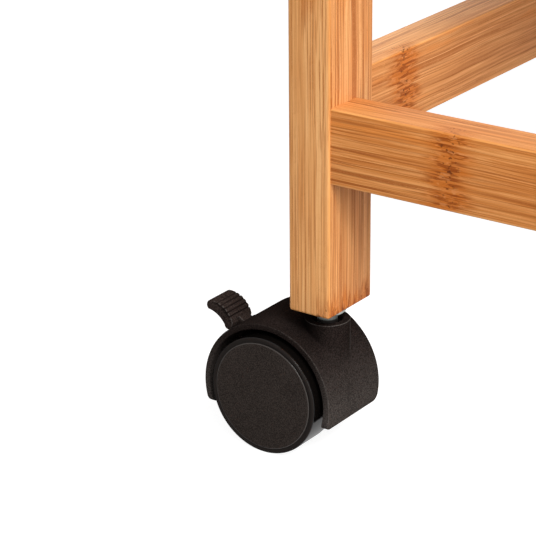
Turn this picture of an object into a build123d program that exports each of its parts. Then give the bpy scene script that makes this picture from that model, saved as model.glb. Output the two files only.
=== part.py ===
"""Bamboo kitchen cart: two ladder side frames, slatted shelves and a worktop on twin-wheel casters.

Millimetres. The origin is on the floor below the middle of the cart, +X runs along the front,
+Y to the back and +Z up. The casters' wheels trail outwards, so the cart is the same left and right.
"""

import os

from build123d import *

# Overall frame
overall_height = 820.0
frame_width = 540.0
frame_depth = 340.0
joint_gap = 0.05

# Legs: slim bamboo boards standing with their long side front to back
leg_thickness = 19.5
leg_depth = 31.0
leg_edge_bevel = 1.0
leg_tongue_height = 8.0

# Rails between the legs
rail_thickness = 18.5
rail_height = 31.0
rail_edge_bevel = 1.4
rail_setback = 1.0
base_rail_rise = 57.0
side_rail_step = 10.3
tenon_length = 12.0
tenon_thickness = 8.0
tenon_shoulder = 5.0
stub_length = 5.0
stub_thickness = 12.0

# Shelves of bamboo slats lying on the side rails
lower_shelf_height = 292.0
upper_shelf_height = 545.0
slat_count = 6
slat_width = 38.0
slat_thickness = 10.0
slat_edge_gap = 5.0
slat_end_inset = 1.5
slat_bevel = 1.0

# Worktop
worktop_end_overhang = 35.0
worktop_front_overhang = 20.0
worktop_thickness = 18.0
worktop_corner_radius = 14.0
worktop_edge_bevel = 2.0

# Screws that draw the front and back base rails up to the legs
connector_head_radius = 6.0
connector_head_height = 2.4
connector_shank_radius = 3.0
connector_reach = 32.0
connector_key_flats = 4.0
connector_key_depth = 1.6
screw_clearance = 0.1

# Caster wheels and axle
wheel_radius = 25.3
wheel_set_width = 44.0
wheel_spacing = 11.0
wheel_face_wall = 3.0
axle_radius = 3.0
axle_end_play = 0.5
running_clearance = 0.05

# Caster housing, one moulding: hood, centre web and stem boss
trail = 17.4
caster_offset = 2.0
hood_clearance = 2.4
hood_wall = 2.5
hood_flare = 0.5
hood_rear_flare = 1.3
hood_length = 37.3
hood_skirt = 9.4
hood_rear_skirt = 11.4
hood_corner_radius = 3.0
web_side_gap = 0.5
hub_radius = 7.0
boss_radius = 9.4
boss_rise = 0.5
bore_floor = 2.5

# Caster stem: threaded end in the leg, hexagon under its foot, plain pivot in the boss
stem_radius = 4.0
stem_thread_length = 24.0
stem_bore_spare = 2.0
stem_hex_flats = 14.0
stem_hex_height = 3.1
stem_hex_rise = 3.4
pivot_radius = 3.5
pivot_depth = 20.0
pivot_tip_gap = 0.3

# Brake pedal: a ribbed lever on a cross pin in the hood
pedal_angle = 141.2
pedal_pin_distance = 29.3
pedal_pin_radius = 1.0
pedal_width = 14.0
pedal_side_gap = 0.4
pedal_hub_radius = 2.8
pedal_cam_radius = 1.2
pedal_cam_offset = 2.5
pedal_travel = 30.0
pedal_crown = (10.5, 2.4)
pedal_tip = (15.6, -2.2)
pedal_tip_radius = 2.4
pedal_waist = (10.8, -3.1)
pedal_heel = (6.3, -4.1)
pedal_neck = (2.4, -0.8)
pedal_rib_count = 5
pedal_rib_first = 0.27
pedal_rib_last = 0.82
pedal_rib_side = 0.8
pedal_slot_above = 3.8
pedal_slot_below = 5.2
lug_radius = 2.2
lug_thickness = 3.0

# Heights and places that follow from the sizes above
hood_inner = wheel_radius + hood_clearance
hood_crest = hood_inner + hood_wall
hood_outer = hood_crest + hood_flare
boss_top = wheel_radius + hood_crest + boss_rise
leg_bottom = boss_top + stem_hex_rise + stem_hex_height
leg_top = overall_height - worktop_thickness
worktop_width = frame_width + 2 * worktop_end_overhang
worktop_depth = frame_depth + 2 * worktop_front_overhang
leg_height = leg_top - leg_bottom
leg_x = (frame_width - leg_thickness) / 2
leg_y = (frame_depth - leg_depth) / 2
caster_y = leg_y + caster_offset
cross_rail_y = frame_depth / 2 - rail_setback - rail_thickness / 2
base_rail_bottom = leg_bottom + base_rail_rise
top_rail_bottom = leg_top - rail_height
tenon_height = rail_height - 2 * tenon_shoulder
side_rail_length = frame_depth - 2 * leg_depth
cross_rail_length = frame_width - 2 * leg_thickness

side_rail_bottoms = {
    "base": base_rail_bottom + side_rail_step,
    "lower_shelf": lower_shelf_height - slat_thickness - rail_height,
    "upper_shelf": upper_shelf_height - slat_thickness - rail_height,
    "top": top_rail_bottom,
}
shelf_heights = {"lower": lower_shelf_height, "upper": upper_shelf_height}
sides = {"left": -1, "right": 1}
ends = {"front": -1, "back": 1}
braked_end = "front"


def cylinder_y(radius, length):
    """Cylinder along Y, centred on the origin."""
    return Rot(90, 0, 0) * Cylinder(radius, length)


def cylinder_x(radius, length):
    """Cylinder along X, centred on the origin."""
    return Rot(0, 90, 0) * Cylinder(radius, length)


def standing_cylinder(radius, bottom, top):
    """Cylinder on the Z axis between two heights."""
    return Pos(0, 0, (bottom + top) / 2) * Cylinder(radius, top - bottom)


def side_tenons(side, bottom, clearance=0.0):
    """The tongues at both ends of a side rail, or with a clearance their mortises in the legs."""
    long = tenon_length + 2 * clearance
    block = Box(tenon_thickness + 2 * clearance, long, tenon_height + 2 * clearance)
    reach = side_rail_length / 2 + tenon_length / 2
    middle = bottom + rail_height / 2
    return [Pos(side * leg_x, end * reach, middle) * block for end in ends.values()]


def cross_tenons(end, bottom, clearance=0.0):
    """The short tongues at both ends of a front or back rail, or their mortises."""
    long = stub_length + 2 * clearance
    block = Box(long, stub_thickness + 2 * clearance, tenon_height + 2 * clearance)
    reach = cross_rail_length / 2 + stub_length / 2
    middle = bottom + rail_height / 2
    return [Pos(side * reach, end * cross_rail_y, middle) * block for side in sides.values()]


def connector_places():
    """Points on the legs' outer faces where the connector screws enter, with the way in along X."""
    places = []
    for end in ends.values():
        for side in sides.values():
            point = (side * frame_width / 2, end * cross_rail_y, base_rail_bottom + rail_height / 2)
            places.append((point, -side))
    return places


def connector_holes(radius, start, stop):
    """Holes along the connector screws, between two depths from the legs' outer faces."""
    hole = cylinder_x(radius, stop - start)
    middle = (start + stop) / 2
    return [Pos(*point) * Pos(inward * middle, 0, 0) * hole for point, inward in connector_places()]


def caster_places():
    """Swivel axes on the floor, each with the turn that points its wheels outwards."""
    places = {}
    for end_name, end in ends.items():
        for side_name, side in sides.items():
            turn = 0 if side < 0 else 180
            places[f"{end_name}_{side_name}"] = Pos(side * leg_x, end * caster_y, 0) * Rot(0, 0, turn)
    return places


def leg_tongue(side, end, clearance=0.0):
    """Tongue on the top of a leg that enters the worktop, or with a clearance its mortise there."""
    wide = tenon_thickness + 2 * clearance
    block = Box(wide, leg_depth - 2 * tenon_shoulder + 2 * clearance, leg_tongue_height + 2 * clearance)
    return Pos(side * leg_x, end * leg_y, leg_top + leg_tongue_height / 2) * block


def leg(side, end):
    """Leg with eased edges, a tongue on top, rail mortises, a screw hole and the caster's bore."""
    solid = Pos(side * leg_x, end * leg_y, leg_bottom + leg_height / 2) * Box(leg_thickness, leg_depth, leg_height)
    solid = chamfer(solid.edges().filter_by(Axis.Z), leg_edge_bevel)
    solid += leg_tongue(side, end)
    for bottom in side_rail_bottoms.values():
        solid -= side_tenons(side, bottom, joint_gap)
    solid -= cross_tenons(end, base_rail_bottom, joint_gap)
    solid -= connector_holes(connector_shank_radius + screw_clearance, -1, leg_thickness + 1)
    bore_top = leg_bottom + stem_thread_length + stem_bore_spare
    bore = standing_cylinder(stem_radius + joint_gap, leg_bottom - 1, bore_top)
    return solid - Pos(side * leg_x, end * caster_y, 0) * bore


def side_rail(side, bottom):
    """Side rail along Y with eased edges and a tenon at each end."""
    solid = Pos(side * leg_x, 0, bottom + rail_height / 2) * Box(rail_thickness, side_rail_length, rail_height)
    solid = chamfer(solid.edges().filter_by(Axis.Y), rail_edge_bevel)
    return solid + side_tenons(side, bottom)


def cross_rail(end):
    """Front or back base rail along X with eased edges, stub tenons and screw holes in its ends."""
    middle = base_rail_bottom + rail_height / 2
    solid = Pos(0, end * cross_rail_y, middle) * Box(cross_rail_length, rail_thickness, rail_height)
    solid = chamfer(solid.edges().filter_by(Axis.X), rail_edge_bevel)
    solid += cross_tenons(end, base_rail_bottom)
    bite_end = leg_thickness + connector_reach + screw_clearance
    return solid - connector_holes(connector_shank_radius + joint_gap, 0, bite_end)


def slat(row, height):
    """Shelf slat along X with bevelled long edges, resting on the side rails."""
    first = side_rail_length / 2 - slat_edge_gap - slat_width / 2
    pitch = 2 * first / (slat_count - 1)
    length = frame_width - 2 * slat_end_inset
    solid = Pos(0, row * pitch - first, height - slat_thickness / 2) * Box(length, slat_width, slat_thickness)
    return chamfer(solid.edges().filter_by(Axis.X), slat_bevel)


def worktop():
    """Board with rounded corners and a bevelled upper edge, with mortises below for the legs' tongues."""
    solid = Pos(0, 0, leg_top + worktop_thickness / 2) * Box(worktop_width, worktop_depth, worktop_thickness)
    solid = fillet(solid.edges().filter_by(Axis.Z), worktop_corner_radius)
    solid = chamfer(solid.faces().sort_by(Axis.Z)[-1].edges(), worktop_edge_bevel)
    return solid - [leg_tongue(side, end, joint_gap) for side in sides.values() for end in ends.values()]


def connector_screw():
    """Flat-headed connector screw along +X, its head standing on the plane x = 0, with a hexagon key."""
    length = leg_thickness + connector_reach
    shank = Pos(length / 2, 0, 0) * cylinder_x(connector_shank_radius, length)
    head = Pos(-connector_head_height / 2, 0, 0) * cylinder_x(connector_head_radius, connector_head_height)
    flats = RegularPolygon(connector_key_flats / 2, 6, major_radius=False)
    key = extrude(Plane.YZ * flats, connector_key_depth)
    return shank + head - Pos(-connector_head_height, 0, 0) * key


def connector_screws():
    """All the connector screws, each driven inwards through its leg."""
    screw = connector_screw()
    turned = Rot(0, 0, 180) * screw
    return [Pos(*point) * (screw if inward > 0 else turned) for point, inward in connector_places()]


def bore_bottom():
    """Height of the floor of the boss's bore, that the stem's tip stands on."""
    return boss_top - pivot_depth - pivot_tip_gap


def caster_stem():
    """Steel stem: thread in the leg, hexagon under the foot and pivot in the boss."""
    hex_bottom = leg_bottom - stem_hex_height
    thread = standing_cylinder(stem_radius, leg_bottom, leg_bottom + stem_thread_length)
    flats = RegularPolygon(stem_hex_flats / 2, 6, major_radius=False)
    hexagon = Pos(0, 0, hex_bottom) * extrude(flats, stem_hex_height)
    pivot = standing_cylinder(pivot_radius, boss_top - pivot_depth, hex_bottom)
    return thread + hexagon + pivot


def about_axle(shape):
    """Moves a shape made about the origin to the wheels' axle, behind the swivel axis."""
    return Pos(-trail, 0, wheel_radius) * shape


def hood_half(side, outer_flare, inner_flare, skirt):
    """One half of the hood seen along the axle: circles of one crest that stand out by a flare at the skirt."""
    outside = Pos(0, -outer_flare) * Circle(hood_crest + outer_flare)
    inside = Pos(0, -inner_flare) * Circle(hood_inner + inner_flare)
    span = 2 * (hood_crest + outer_flare)
    half = Pos(side * span / 2, span / 2 - skirt) * Rectangle(span, span)
    return (outside - inside) & half


def across(sketch, width):
    """Extrudes an outline drawn in X and Z to a width centred on the wheels' middle plane."""
    return extrude(Plane.XZ * sketch, width / 2, both=True)


def hood():
    """Arched cover over both wheels, deeper and wider on its trailing side, with rounded lower corners."""
    leading = hood_half(1, hood_flare, 0, hood_skirt)
    trailing = hood_half(-1, hood_rear_flare, hood_rear_flare, hood_rear_skirt)
    shell = across(leading + trailing, hood_length)
    corners = shell.edges().filter_by(Axis.X)
    return fillet(corners, hood_corner_radius)


def centre_web():
    """Plate between the wheels: from the axle hub up to the hood, thick enough for the stem's bore."""
    low = bore_bottom() - bore_floor - wheel_radius
    near = trail - boss_radius
    far = trail + boss_radius
    corners = [(0, hub_radius), (near, hood_outer), (far, hood_outer), (far, low), (0, -hub_radius)]
    outline = Circle(hub_radius) + make_face(Polyline(*corners, close=True))
    return across(outline & Circle(hood_inner + hood_wall / 2), wheel_spacing - 2 * web_side_gap)


def stem_boss():
    """Round boss on the hood for the stem, open below the hood."""
    boss = standing_cylinder(boss_radius, wheel_radius, boss_top)
    return boss - about_axle(cylinder_y(hood_inner, hood_length))


def pedal_frame(shape):
    """Moves a shape from the pedal's own axes, X out along the arm and Z up, to its pin."""
    return about_axle(Rot(0, -pedal_angle, 0) * Pos(pedal_pin_distance, 0, 0) * Rot(180, 0, 0) * shape)


def pedal_slot():
    """Opening in the hood that the pedal swings in."""
    depth = pedal_pin_distance - wheel_radius
    long = depth + 2 * hood_wall + hood_clearance
    block = Box(long, pedal_width + 2 * pedal_side_gap, pedal_slot_above + pedal_slot_below)
    return pedal_frame(Pos(long / 2 - depth, 0, (pedal_slot_above - pedal_slot_below) / 2) * block)


def pedal_lugs():
    """Lugs beside the slot that carry the pedal's pin."""
    middle = pedal_width / 2 + pedal_side_gap + lug_thickness / 2
    lug = cylinder_y(lug_radius, lug_thickness)
    return [pedal_frame(Pos(0, side * middle, 0) * lug) for side in (-1, 1)]


def pedal_pin_length():
    """The pin spans the pedal, its side gaps and both lugs."""
    return pedal_width + 2 * (pedal_side_gap + lug_thickness)


def caster_housing(braked):
    """Hood, centre web and stem boss as one moulding, with a pedal slot if braked."""
    solid = about_axle(hood()) + about_axle(centre_web()) + stem_boss()
    if braked:
        solid = solid - pedal_slot() + pedal_lugs()
        solid -= pedal_frame(cylinder_y(pedal_pin_radius + joint_gap, pedal_pin_length()))
    solid -= standing_cylinder(pivot_radius + running_clearance, bore_bottom(), boss_top)
    return solid - about_axle(cylinder_y(axle_radius + joint_gap, wheel_set_width))


def axle():
    """Plain axle pin through the web, carrying a wheel at each end."""
    length = wheel_set_width - 2 * (wheel_face_wall + axle_end_play)
    return about_axle(cylinder_y(axle_radius, length))


def wheel(side):
    """Moulded wheel turned about the axle, with a closed outer face and a blind bore."""
    inner = wheel_spacing / 2
    outer = wheel_set_width / 2
    bore_end = outer - wheel_face_wall
    bore = axle_radius + running_clearance
    outline = Polyline(
        (bore, inner),
        (wheel_radius, inner),
        (wheel_radius, outer),
        (0, outer),
        (0, bore_end),
        (bore, bore_end),
        close=True,
    )
    solid = revolve(make_face(outline), Axis.Y)
    turned = solid if side > 0 else Rot(180, 0, 0) * solid
    return about_axle(turned)


def pedal_arm():
    """Side view of the pedal's arm: crowned above, hollow below, with a round tip. Also its upper edge."""
    tip_x, tip_z = pedal_tip
    tip_top = (tip_x + pedal_tip_radius / 2, tip_z + pedal_tip_radius * 3**0.5 / 2)
    tip_end = (tip_x + pedal_tip_radius, tip_z)
    tip_bottom = (tip_x, tip_z - pedal_tip_radius)
    upper = ThreePointArc(pedal_neck, pedal_crown, tip_top)
    tip = ThreePointArc(tip_top, tip_end, tip_bottom)
    lower = ThreePointArc(tip_bottom, pedal_waist, pedal_heel)
    root = Polyline(pedal_heel, (0, -pedal_hub_radius), pedal_neck)
    return make_face([upper, tip, lower, root]), upper


def brake_pedal():
    """Ribbed foot lever: hub on the pin, cam that meets the treads when pressed, and the arm."""
    arm, upper = pedal_arm()
    cam = Rot(0, 0, 180 + pedal_travel) * Pos(pedal_cam_offset, 0) * Circle(pedal_cam_radius)
    outline = arm + Circle(pedal_hub_radius) + cam
    step = (pedal_rib_last - pedal_rib_first) / (pedal_rib_count - 1)
    for rib in range(pedal_rib_count):
        groove = upper @ (pedal_rib_first + rib * step)
        outline -= Pos(groove.X, groove.Y) * Rot(0, 0, 45) * Rectangle(pedal_rib_side, pedal_rib_side)
    outline -= Circle(pedal_pin_radius + running_clearance)
    return pedal_frame(across(outline, pedal_width))


def pedal_pin():
    """Steel cross pin of the pedal."""
    return pedal_frame(cylinder_y(pedal_pin_radius, pedal_pin_length()))


def frame_nodes():
    """Legs, rails, slats and worktop, by name."""
    nodes = {"worktop": worktop()}
    for side_name, side in sides.items():
        for end_name, end in ends.items():
            nodes[f"leg_{end_name}_{side_name}"] = leg(side, end)
        for level, bottom in side_rail_bottoms.items():
            nodes[f"{level}_side_rail_{side_name}"] = side_rail(side, bottom)
    for end_name, end in ends.items():
        nodes[f"base_rail_{end_name}"] = cross_rail(end)
    for shelf, height in shelf_heights.items():
        for row in range(slat_count):
            nodes[f"{shelf}_shelf_slat_{row + 1}"] = slat(row, height)
    return nodes


def fastener_nodes():
    """Groups of like fasteners, and the stems that stay fixed in the legs."""
    return {
        "connector_screws": Compound(connector_screws()),
        "caster_stems": Compound([place * caster_stem() for place in caster_places().values()]),
    }


def caster_nodes():
    """Pieces of the four casters, by name. Those of the braked end have a pedal and its pin."""
    nodes = {}
    for name, place in caster_places().items():
        braked = name.startswith(braked_end)
        nodes[f"caster_housing_{name}"] = place * caster_housing(braked)
        nodes[f"caster_axle_{name}"] = place * axle()
        nodes[f"caster_wheel_{name}_near"] = place * wheel(-1)
        nodes[f"caster_wheel_{name}_far"] = place * wheel(1)
        if braked:
            nodes[f"brake_pedal_{name}"] = place * brake_pedal()
            nodes[f"brake_pin_{name}"] = place * pedal_pin()
    return nodes


os.makedirs("parts", exist_ok=True)
for node_name, shape in {**frame_nodes(), **fastener_nodes(), **caster_nodes()}.items():
    export_step(shape, f"parts/{node_name}.step")
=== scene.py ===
"""Looks of a bamboo kitchen cart on twin-wheel casters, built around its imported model.

Metres, in the model's own frame: +X along the front, +Y to the back, +Z up from the floor.
"""

import math

import bpy
import numpy as np
from mathutils import Matrix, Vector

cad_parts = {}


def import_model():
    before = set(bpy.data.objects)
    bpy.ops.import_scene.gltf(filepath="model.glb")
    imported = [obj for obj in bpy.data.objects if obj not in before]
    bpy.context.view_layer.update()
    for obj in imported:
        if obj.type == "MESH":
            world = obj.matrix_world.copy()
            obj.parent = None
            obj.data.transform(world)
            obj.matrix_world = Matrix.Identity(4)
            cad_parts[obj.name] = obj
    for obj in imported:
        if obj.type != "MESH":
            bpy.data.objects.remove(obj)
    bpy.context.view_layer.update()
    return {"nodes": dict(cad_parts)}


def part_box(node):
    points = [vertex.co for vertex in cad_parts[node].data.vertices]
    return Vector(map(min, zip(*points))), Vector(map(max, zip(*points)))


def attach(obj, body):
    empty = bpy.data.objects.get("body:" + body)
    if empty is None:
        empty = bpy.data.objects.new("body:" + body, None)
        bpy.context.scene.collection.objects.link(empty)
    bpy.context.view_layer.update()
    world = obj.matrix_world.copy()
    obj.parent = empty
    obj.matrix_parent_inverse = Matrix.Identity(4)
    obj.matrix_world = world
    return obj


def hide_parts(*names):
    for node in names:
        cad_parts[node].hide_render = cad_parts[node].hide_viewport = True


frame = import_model()

MM = 0.001
X, Y, Z = 0, 1, 2
SIDES = {"left": -1, "right": 1}
ENDS = ("front", "back")

# Timber
LEG_EDGE = 1.3 * MM
RAIL_EDGE = 0.9 * MM
SLAT_EDGE = 1.4 * MM
FOOT_EDGE = 1.2 * MM
LEAST_EDGE = 0.2 * MM
EDGE_STEPS = 6
BAR_ROW = 0.01
TENON_SINK = 1.0 * MM
WORKTOP_CORNER = 14.0 * MM
WORKTOP_CORNER_STEPS = 10
WORKTOP_EDGE = 3.0 * MM
WORKTOP_UNDER_EDGE = 0.8 * MM
STRIP = 6.6 * MM
BOARD_STRIP = 19.0 * MM
KNUCKLE_PITCH = 0.36
GOLDEN_SHARE = 0.618

# Casters, measured from the axle's middle
TRAIL = 17.4 * MM
AXLE_HEIGHT = 25.3 * MM
WHEEL_STEPS = 160
HOOD_INNER = 27.7 * MM
HOOD_CREST = 30.2 * MM
HOOD_FLARE = 0.5 * MM
HOOD_SKIRT = 9.4 * MM
HOOD_REAR_FLARE = 1.3 * MM
HOOD_REAR_SKIRT = 11.4 * MM
HOOD_SPAN = 0.61 * math.pi * HOOD_CREST  # about the length from the crest to a skirt's edge
HOOD_HALF = 18.65 * MM
HOOD_CORNER = 3.0 * MM
HOOD_EDGE = 0.5 * MM
HOOD_LIP = 0.3 * MM
SKIRT_EASE = 0.4 * MM
SKIRT_ROWS = np.array([0.0, 0.1, 0.25, 0.5, 0.8, 1.2, 1.7, 2.3, 3.0, 4.0]) * MM  # up from the edge
HOOD_ROWS = 110
BOSS_RADIUS = 9.4 * MM
BOSS_TOP = 31.6 * MM
BOSS_BLEND = 1.0 * MM
BOSS_BLEND_RISE = 1.2 * MM
BOSS_BLEND_BELOW_RIM = 0.1 * MM
BOSS_FOOT_SINK = 0.5 * MM
BOSS_RIM = 0.4 * MM
BOSS_HOLE = 6.2 * MM
BOSS_HOLE_DEPTH = 5.0 * MM
BOSS_HOLE_EASE = 0.3 * MM
BOSS_BORE = 3.6 * MM
BOSS_BORE_DEPTH = 8.0 * MM
BOSS_STEPS = 96
WEB_HALF = 5.0 * MM
WEB_LOW = 7.9 * MM
WEB_EASE = 0.5 * MM
WEB_SINK = 0.8 * MM
WEB_STEPS = 144
HUB_RADIUS = 7.0 * MM
PIN_DISTANCE = 29.3 * MM
PEDAL_ANGLE = math.radians(141.2)
SLOT_HALF = 7.4 * MM
SLOT_ABOVE = 3.8 * MM
SLOT_BELOW = 5.2 * MM

STEM_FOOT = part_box("leg_front_left")[0].z
STEM_STEPS = 96

chance = np.random.default_rng(11)


# Surfaces

def grid_faces(rows, columns):
    """Quads between neighbouring rows of a stack of closed loops."""
    row, column = np.meshgrid(np.arange(rows - 1), np.arange(columns), indexing="ij")
    after = (column + 1) % columns
    low, high = row * columns, (row + 1) * columns
    corners = [low + column, low + after, high + after, high + column]
    return [tuple(face) for face in np.stack(corners, -1).reshape(-1, 4).tolist()]


def outward(points, faces):
    """Faces turned so that their signed volume, the sum of triple products over fans, is positive."""
    volume = 0.0
    for face in faces:
        corner = points[np.asarray(face)]
        volume += (np.cross(corner[1:-1], corner[2:]) @ corner[0]).sum()
    return faces if volume > 0 else [face[::-1] for face in faces]


def tube(loops):
    """Closed surface through a stack of closed loops, by row, point and XYZ, with a flat cap at both ends."""
    rows, columns, _ = loops.shape
    faces = grid_faces(rows, columns)
    faces.append(tuple(range(columns))[::-1])
    faces.append(tuple(range((rows - 1) * columns, rows * columns)))
    points = loops.reshape(-1, 3)
    return points, outward(points, faces)


def joined(parts):
    """One list of points and faces from several."""
    points, faces, start = [], [], 0
    for part_points, part_faces in parts:
        points.append(part_points)
        faces += [tuple(index + start for index in face) for face in part_faces]
        start += len(part_points)
    return np.concatenate(points), faces


def make_piece(name, surface, body, finish, replaced, fields=None, crease=35.0):
    """Mesh object from points and faces, smooth but for edges sharper than the crease, riding on a body."""
    points, faces = surface
    mesh = bpy.data.meshes.new(name)
    mesh.from_pydata(points.tolist(), [], faces)
    for label, values in (fields or {}).items():
        kind = "FLOAT_VECTOR" if values.ndim == 2 else "FLOAT"
        data = mesh.attributes.new(label, kind, "POINT").data
        data.foreach_set("vector" if values.ndim == 2 else "value", values.astype(np.float32).ravel())
    mesh.polygons.foreach_set("use_smooth", np.ones(len(mesh.polygons), bool))
    mesh.set_sharp_from_angle(angle=math.radians(crease))
    mesh.materials.append(finish)
    mesh.update()
    piece = bpy.data.objects.new(name, mesh)
    bpy.context.scene.collection.objects.link(piece)
    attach(piece, body)
    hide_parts(*replaced)


def full_turn(steps):
    """Angles of a closed circle."""
    return np.linspace(0, 2 * math.pi, steps, endpoint=False)


def rounded_rectangle(half_wide, half_thick, radius, steps):
    """Loop of a rectangle with quarter-circle corners: corner centre plus radius times (cos, sin)."""
    turn = np.linspace(0, math.pi / 2, steps + 1)
    angles = np.concatenate([turn + quarter * math.pi / 2 for quarter in range(4)])
    signs = np.repeat(np.array([[1, 1], [-1, 1], [-1, -1], [1, -1]]), steps + 1, axis=0)
    centres = signs * np.array([half_wide - radius, half_thick - radius])
    return centres + radius * np.stack([np.cos(angles), np.sin(angles)], -1)


def arc(centre, radii, start, stop, steps):
    """Points on an ellipse's arc about a centre, angles in degrees."""
    turn = np.radians(np.linspace(start, stop, steps))
    return np.stack([centre[0] + radii[0] * np.cos(turn), centre[1] + radii[1] * np.sin(turn)], -1)


# Finishes

class Tone:
    """A value in a material: one output socket of its node tree, usable in arithmetic."""

    def __init__(self, tree, socket=None):
        self.tree = tree
        self.socket = socket

    def node(self, kind, settings=None, inputs=None, output=0):
        """Adds a node, sets its settings first, then the values or links of its sockets."""
        made = self.tree.nodes.new(kind)
        for key, value in (settings or {}).items():
            setattr(made, key, value)
        for key, value in (inputs or {}).items():
            if isinstance(value, Tone):
                self.tree.links.new(value.socket, made.inputs[key])
            else:
                made.inputs[key].default_value = value
        return Tone(self.tree, made.outputs[output] if made.outputs else None)

    def output(self, name):
        """Another output of the same node."""
        return Tone(self.tree, self.socket.node.outputs[name])

    def math(self, operation, *values):
        """A Math node on up to three values."""
        return self.node("ShaderNodeMath", {"operation": operation}, dict(enumerate(values)))

    def __add__(self, other):
        return self.math("ADD", self, other)

    def __sub__(self, other):
        return self.math("SUBTRACT", self, other)

    def __rsub__(self, other):
        return self.math("SUBTRACT", other, self)

    def __mul__(self, other):
        return self.math("MULTIPLY", self, other)

    __radd__ = __add__
    __rmul__ = __mul__

    def swing(self, weight):
        """How far a value of 0 to 1 lies from its middle, times a weight."""
        return (self - 0.5) * weight

    def between(self, low, high):
        """0 at or below low, 1 at or above high, smooth between."""
        return self.node(
            "ShaderNodeMapRange",
            {"interpolation_type": "SMOOTHSTEP"},
            {"Value": self, "From Min": low, "From Max": high},
        )

    def mixed(self, first, second):
        """Colour between two, with this value as the share of the second."""
        shades = [shade if isinstance(shade, Tone) else (*shade, 1.0) for shade in (first, second)]
        return self.node("ShaderNodeMix", {"data_type": "RGBA"}, {0: self, 6: shades[0], 7: shades[1]}, 2)


def new_finish(name):
    """Material with a Principled shader, and a tone to start its tree from."""
    finish = bpy.data.materials.new(name)
    finish.use_nodes = True
    return finish, Tone(finish.node_tree)


def feed(start, inputs):
    """Links tones, or sets plain values, on the Principled shader's sockets."""
    shader = start.tree.nodes["Principled BSDF"]
    for key, value in inputs.items():
        if isinstance(value, Tone):
            start.tree.links.new(value.socket, shader.inputs[key])
        else:
            shader.inputs[key].default_value = value


def srgb(red, green, blue):
    """Linear colour from screen values of 0 to 255."""
    shares = np.array([red, green, blue]) / 255
    return tuple(np.where(shares <= 0.04045, shares / 12.92, ((shares + 0.055) / 1.055) ** 2.4).tolist())


def scaled(colour, share):
    """Colour with all its parts times a share."""
    return tuple(part * share for part in colour)


def field(start, name, output="Fac"):
    """One of the mesh's own fields."""
    return start.node("ShaderNodeAttribute", {"attribute_name": name}, None, output)


def object_place(start):
    """Place of a point in its piece's own coordinates."""
    return start.node("ShaderNodeTexCoord", None, None, "Object")


NOISE_ROUGHNESS = 0.55


def noise(start, place, scale, octaves=2.0):
    """Plain fractal noise."""
    inputs = {"Vector": place, "Scale": scale, "Detail": octaves, "Roughness": NOISE_ROUGHNESS}
    return start.node("ShaderNodeTexNoise", None, inputs, "Fac")


def bumped(start, height, strength, distance):
    """Normal tilted by the slope of a height."""
    inputs = {"Strength": strength, "Distance": distance, "Height": height}
    return start.node("ShaderNodeBump", None, inputs, "Normal")


# Bamboo

# Dark, honey and pale tone of the richest and of the lightest pieces
RICH = (srgb(152, 76, 22), srgb(202, 124, 58), srgb(228, 158, 92))
LIGHT = (srgb(168, 98, 44), srgb(216, 154, 96), srgb(236, 182, 124))
NARROW_FACE = srgb(242, 168, 92)
WARM_STREAK = srgb(222, 132, 54)
# Colour of the highlight painted along rounded corners
PAINTED_CORNER_HIGHLIGHT = srgb(248, 180, 104)
KNUCKLE_BAND = srgb(196, 100, 16)
KNUCKLE_THREAD = srgb(134, 60, 10)
KNUCKLE_PATCH = srgb(222, 148, 88)
KNUCKLE_DOT = srgb(96, 44, 10)

# Turns of noise in a metre along the fibres and across them, octaves, and for marks that stand apart
# the noise at which they begin and are full
MARKS = {
    "bend": (10.0, 26.0, 2.0),
    "fibre": (40.0, 1500.0, 2.0),
    "line": (11.0, 760.0, 3.0),
    "vein": (6.0, 300.0, 2.0),
    "cloud": (9.0, 40.0, 2.0),
    "warm": (22.0, 130.0, 2.0, 0.56, 0.70),
    "hair": (8.0, 1000.0, 2.0, 0.54, 0.58),
    "wisp": (14.0, 1500.0, 2.0, 0.55, 0.61),
    "sway": (2.0, 60.0, 2.0),
    "ragged": (24.0, 380.0, 3.0),
    "threads": (90.0, 800.0, 2.0, 0.50, 0.55),
    "patches": (170.0, 520.0, 2.0, 0.57, 0.63),
    "dots": (500.0, 700.0, 1.0, 0.61, 0.67),
}
BEND = 3.0 * MM
SWAY = 12.0 * MM
RAGGED = 24.0 * MM
BAND_WIDTH = (3.0 * MM, 13.0 * MM)
HEART_WIDTH = (1.2 * MM, 6.2 * MM)

# How far a strip's own draw moves its grain, along and across, and how a piece's shade changes the draw
DRAWN_ALONG = 3.0
DRAWN_ACROSS = 0.4
SHADE_DRAW = 91.0

DARK_TO_HONEY = (0.12, 0.52)
HONEY_TO_PALE = (0.50, 0.88)
MEAN_LEVEL = 0.56
BAMBOO_GLOSS = 0.15


def streaks(start, place, kind):
    """Noise drawn out along the fibres: few turns a metre along the strip, many across it."""
    lengthwise, crosswise, octaves, *levels = MARKS[kind]
    along, wide, thick = place
    parts = {0: along * lengthwise, 1: wide * crosswise, 2: thick * crosswise}
    drawn = noise(start, start.node("ShaderNodeCombineXYZ", None, parts), 1.0, octaves)
    return drawn.between(*levels) if levels else drawn


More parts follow.
